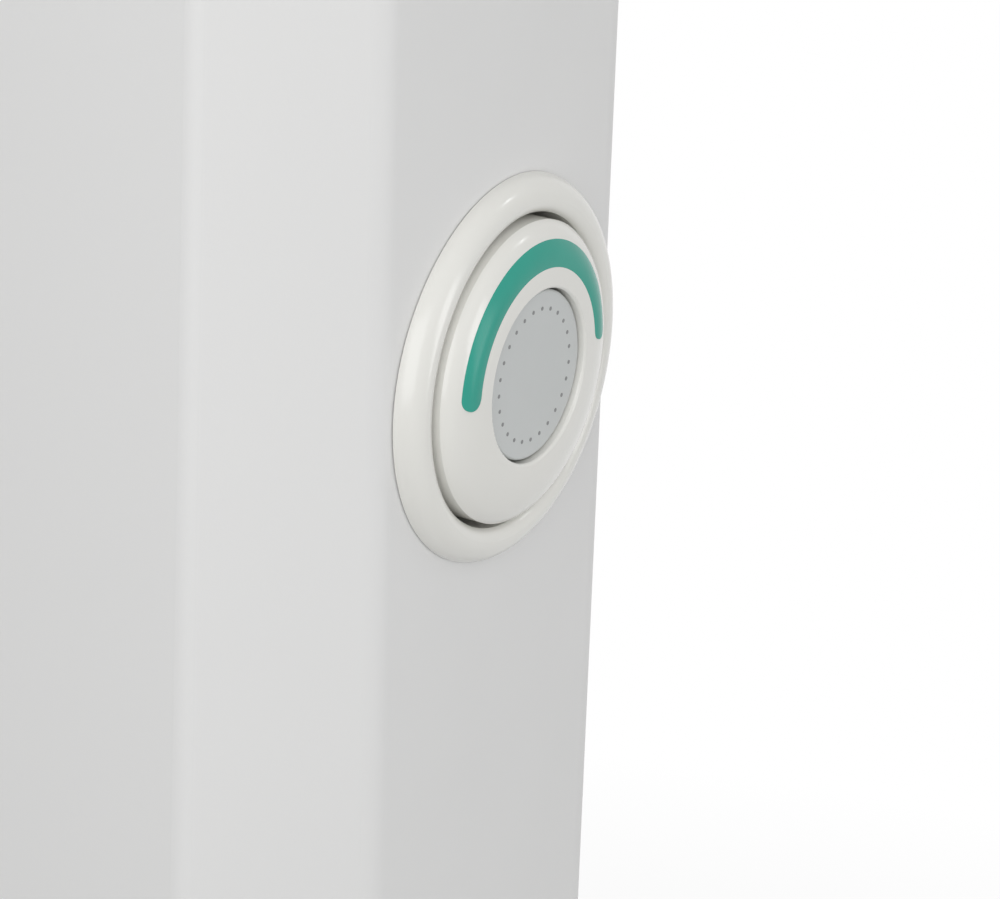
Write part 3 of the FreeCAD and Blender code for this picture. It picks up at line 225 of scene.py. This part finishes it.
def lamp_amber():
    finish = Finish(
        "lamp_amber", (0.75, 0.22, 0.03), roughness=0.12, Transmission_Weight=0.35, IOR=1.49,
    )
    finish.tint(finish.noise(0.004), amount=0.06)
    return finish.gloss(finish.noise(0.002), low=0.1, high=0.16)


def tyre_dark():
    finish = Finish("tyre_dark", (0.030, 0.030, 0.032), roughness=0.72)
    finish.tint(finish.noise(0.006, detail=4.0), amount=0.25)
    finish.gloss(finish.noise(0.004, detail=4.0), low=0.62, high=0.82)
    return finish.bump(finish.noise(0.0008, detail=3.0), height=0.00004)


def plated_steel():
    finish = Finish("plated_steel", (0.66, 0.67, 0.69), roughness=0.34, Metallic=1.0)
    finish.tint(finish.noise(0.006, detail=4.0), amount=0.08)
    finish.gloss(finish.noise(0.003, detail=4.0, stretch=(1.0, 1.0, 0.15)), low=0.28, high=0.42)
    return finish.bump(finish.noise(0.0012, detail=3.0), height=0.00001)


def drawn_metal(name, colour, roughness):
    """Metal with fine streaks along the radiator's length."""
    along = (0.05, 1.0, 1.0)
    finish = Finish(name, colour, roughness, Metallic=1.0)
    finish.tint(finish.noise(0.012, detail=4.0), amount=0.12)
    streaks = finish.noise(0.001, detail=3.0, stretch=along)
    finish.gloss(streaks, low=roughness - 0.01, high=roughness + 0.1)
    return finish.bump(finish.noise(0.0006, stretch=along), height=0.000006)


def gland_rubber():
    finish = Finish("gland_rubber", (0.36, 0.365, 0.37), roughness=0.66)
    finish.tint(finish.noise(0.008), amount=0.05)
    finish.gloss(finish.noise(0.005, detail=3.0), low=0.58, high=0.74)
    return finish.bump(finish.noise(0.0007), height=0.00002)


FINISHES = {
    "column_enamel": column_enamel(),
    "housing_white": housing_white(),
    "control_white": control_white(),
    "arc_teal": arc_teal(),
    "button_grey": button_grey(),
    "handle_grey": grained_plastic(
        "handle_grey", (0.26, 0.265, 0.27), roughness=0.5, grain=0.0006, depth=0.00003,
    ),
    "switch_grey": grained_plastic(
        "switch_grey", (0.075, 0.078, 0.082), roughness=0.36, grain=0.0005, depth=0.00001,
    ),
    "lamp_amber": lamp_amber(),
    "caster_grey": grained_plastic(
        "caster_grey", (0.045, 0.045, 0.048), roughness=0.5, grain=0.0007, depth=0.00003,
    ),
    "tyre_dark": tyre_dark(),
    "plated_steel": plated_steel(),
    "element_steel": drawn_metal("element_steel", (0.30, 0.28, 0.26), roughness=0.42),
    "terminal_brass": drawn_metal("terminal_brass", (0.72, 0.52, 0.22), roughness=0.3),
    "phenolic_dark": grained_plastic(
        "phenolic_dark", (0.022, 0.020, 0.019), roughness=0.44, grain=0.0009, depth=0.00002,
    ),
    "gland_rubber": gland_rubber(),
}

for part in frame["record"]["subparts"]:
    solid = frame["nodes"][part["node"]]
    solid.data.materials.clear()
    solid.data.materials.append(FINISHES[part["material_slot"]].material)


# Pieces that the solids leave out


def add_object(name, mesh, finish):
    """Puts a bmesh into the scene as an object with a finish."""
    data = bpy.data.meshes.new(name)
    mesh.to_mesh(data)
    mesh.free()
    data.materials.append(finish.material)
    item = bpy.data.objects.new(name, data)
    bpy.context.scene.collection.objects.link(item)
    return item


def add_piece(name, mesh, finish, body):
    """Puts a closed bmesh into the scene as a piece that moves with a body."""
    bmesh.ops.recalc_face_normals(mesh, faces=mesh.faces)
    piece = add_object(name, mesh, finish)
    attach(piece, body)


def make_dots():
    """Printed dots round the edge of the centre button, each a thin pad."""
    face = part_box("centre_button")[1].x
    facing_out = Matrix.Rotation(math.radians(90), 4, "Y")
    mesh = bmesh.new()
    for number in range(DOT_COUNT):
        angle = DOT_START + math.tau * number / DOT_COUNT
        across = DOT_RING * math.cos(angle)
        up = DOT_RING * math.sin(angle)
        spot = Vector((face + DOT_RISE, across, DIAL_HEIGHT + up))
        bmesh.ops.create_cone(
            mesh, cap_ends=True, segments=DOT_SEGMENTS, radius1=DOT_RADIUS, radius2=DOT_RADIUS,
            depth=DOT_THICKNESS, matrix=Matrix.Translation(spot) @ facing_out,
        )
    add_piece("button_dots", mesh, dot_ink(), "button")


def add_ridge(mesh, x, y, radius, bottom, top):
    """One thread as a closed ridge that winds up a rod and runs out at both ends."""
    turns = (top - bottom) / THREAD_PITCH - 2 * THREAD_MARGIN
    steps = round(turns * THREAD_STEPS)
    root = radius - THREAD_ROOT
    last = None
    for step in range(steps + 1):
        angle = math.tau * step / THREAD_STEPS
        height = bottom + THREAD_PITCH * (THREAD_MARGIN + step / THREAD_STEPS)
        turns_to_end = min(step, steps - step) / THREAD_STEPS
        crest = radius + THREAD_DEPTH * min(1.0, turns_to_end / THREAD_RUN_OUT)
        section = ((root, -THREAD_HALF_WIDTH), (crest, 0.0), (root, THREAD_HALF_WIDTH))
        ring = []
        for reach, rise in section:
            spot = (x + reach * math.cos(angle), y + reach * math.sin(angle), height + rise)
            ring.append(mesh.verts.new(spot))
        if last is None:
            mesh.faces.new(ring)
        else:
            for one, two in ((0, 1), (1, 2), (2, 0)):
                mesh.faces.new((last[one], last[two], ring[two], ring[one]))
        last = ring
    mesh.faces.new(last)


def make_threads():
    """Threads on the bolt ends that stand out below the wing nuts."""
    nut_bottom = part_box("wing_nuts")[0].z
    mesh = bmesh.new()
    for name in ("front_u_bolt", "rear_u_bolt"):
        low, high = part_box(name)
        radius = (high.x - low.x) / 2
        for y in (low.y + radius, high.y - radius):
            add_ridge(mesh, (low.x + high.x) / 2, y, radius, low.z, nut_bottom)
    add_piece("bolt_threads", mesh, FINISHES["plated_steel"], "radiator")


make_dots()
make_threads()


# Floor, light and camera


def seen_directly(tree):
    """One for what the camera sees, also mirrored or through something clear, and otherwise zero."""
    path = tree.nodes.new("ShaderNodeLightPath")
    seen = path.outputs["Is Camera Ray"]
    for ray in ("Is Glossy Ray", "Is Transmission Ray"):
        either = tree.nodes.new("ShaderNodeMath")
        either.operation = "MAXIMUM"
        tree.links.new(seen, either.inputs[0])
        tree.links.new(path.outputs[ray], either.inputs[1])
        seen = either.outputs["Value"]
    return seen


def mix_shaders(tree, share, first, second):
    """Goes from the first shader to the second as the share goes from zero to one."""
    mix = tree.nodes.new("ShaderNodeMixShader")
    tree.links.new(share, mix.inputs["Fac"])
    tree.links.new(first, mix.inputs[1])
    tree.links.new(second, mix.inputs[2])
    return mix.outputs["Shader"]


def make_floor():
    finish = Finish("floor", (FLOOR_BOUNCE, FLOOR_BOUNCE, FLOOR_BOUNCE), FLOOR_ROUGHNESS)
    pale = finish.add("ShaderNodeBsdfDiffuse")
    pale.inputs["Color"].default_value = (FLOOR_SEEN, FLOOR_SEEN, FLOOR_SEEN, 1.0)
    glow = finish.add("ShaderNodeEmission")
    glow.inputs["Color"].default_value = WHITE
    glow.inputs["Strength"].default_value = WHITE_STRENGTH
    reach = finish.add("ShaderNodeVectorMath", operation="LENGTH")
    finish.link(finish.place, reach.inputs[0])
    whiteness = finish.ranged(reach.outputs["Value"], FLOOR_WHITENESS, 1.0, FLOOR_NEAR, FLOOR_FAR)
    shown = mix_shaders(finish.tree, whiteness, pale.outputs["BSDF"], glow.outputs["Emission"])
    seen = seen_directly(finish.tree)
    surface = mix_shaders(finish.tree, seen, finish.shader.outputs["BSDF"], shown)
    finish.link(surface, finish.tree.nodes["Material Output"].inputs["Surface"])
    mesh = bmesh.new()
    bmesh.ops.create_grid(mesh, x_segments=1, y_segments=1, size=FLOOR_SIZE / 2)
    floor = add_object("floor", mesh, finish)


def make_softbox(name, place, target, width, height, power, turn=0.0):
    """A soft lamp that points at the target, turned about its own axis by degrees."""
    data = bpy.data.lights.new(name, "AREA")
    data.shape = "RECTANGLE"
    data.size = width
    data.size_y = height
    data.energy = power
    lamp = bpy.data.objects.new(name, data)
    lamp.location = place
    lamp.rotation_mode = "QUATERNION"
    aim = (Vector(target) - Vector(place)).to_track_quat("-Z", "Y")
    lamp.rotation_quaternion = aim @ Quaternion((0.0, 0.0, 1.0), math.radians(turn))
    lamp.visible_camera = False
    bpy.context.scene.collection.objects.link(lamp)


def make_world():
    world = bpy.data.worlds.new("studio")
    bpy.context.scene.world = world
    world.use_nodes = True
    tree = world.node_tree
    room = tree.nodes["Background"]
    room.inputs["Color"].default_value = WHITE
    room.inputs["Strength"].default_value = ROOM_STRENGTH
    white = tree.nodes.new("ShaderNodeBackground")
    white.inputs["Color"].default_value = WHITE
    white.inputs["Strength"].default_value = WHITE_STRENGTH
    seen = seen_directly(tree)
    surface = mix_shaders(tree, seen, room.outputs["Background"], white.outputs["Background"])
    tree.links.new(surface, tree.nodes["World Output"].inputs["Surface"])


def make_camera():
    level_right = Vector((math.cos(AZIMUTH), math.sin(AZIMUTH), 0.0))
    level = math.cos(ELEVATION)
    back = Vector((math.sin(AZIMUTH) * level, -math.cos(AZIMUTH) * level, math.sin(ELEVATION)))
    level_up = back.cross(level_right)
    right = level_right * math.cos(ROLL) + level_up * math.sin(ROLL)
    up = back.cross(right)
    data = bpy.data.cameras.new("camera")
    data.sensor_width = SENSOR
    data.lens = FOCAL_PIXELS * SENSOR / IMAGE_WIDTH
    camera = bpy.data.objects.new("camera", data)
    axes = Matrix((right, up, back)).transposed().to_4x4()
    camera.matrix_world = Matrix.Translation(AIM + back * DISTANCE) @ axes
    bpy.context.scene.collection.objects.link(camera)
    bpy.context.scene.camera = camera


make_floor()
make_world()
make_softbox("key", (0.412, -0.63, 0.657), CONTROL, width=0.7, height=0.6, power=2.42)
make_softbox("strip", (1.597, 0.464, 0.47), CONTROL, width=0.9, height=0.4, power=3.2, turn=-50.0)
make_softbox("rear", (-2.0, 2.2, 1.8), MIDDLE, width=1.4, height=1.4, power=34.0)
make_softbox("glint", (1.28, 1.372, 1.41), CONTROL, width=0.12, height=0.12, power=0.8)
make_camera()
bpy.context.scene.view_settings.view_transform = "Standard"
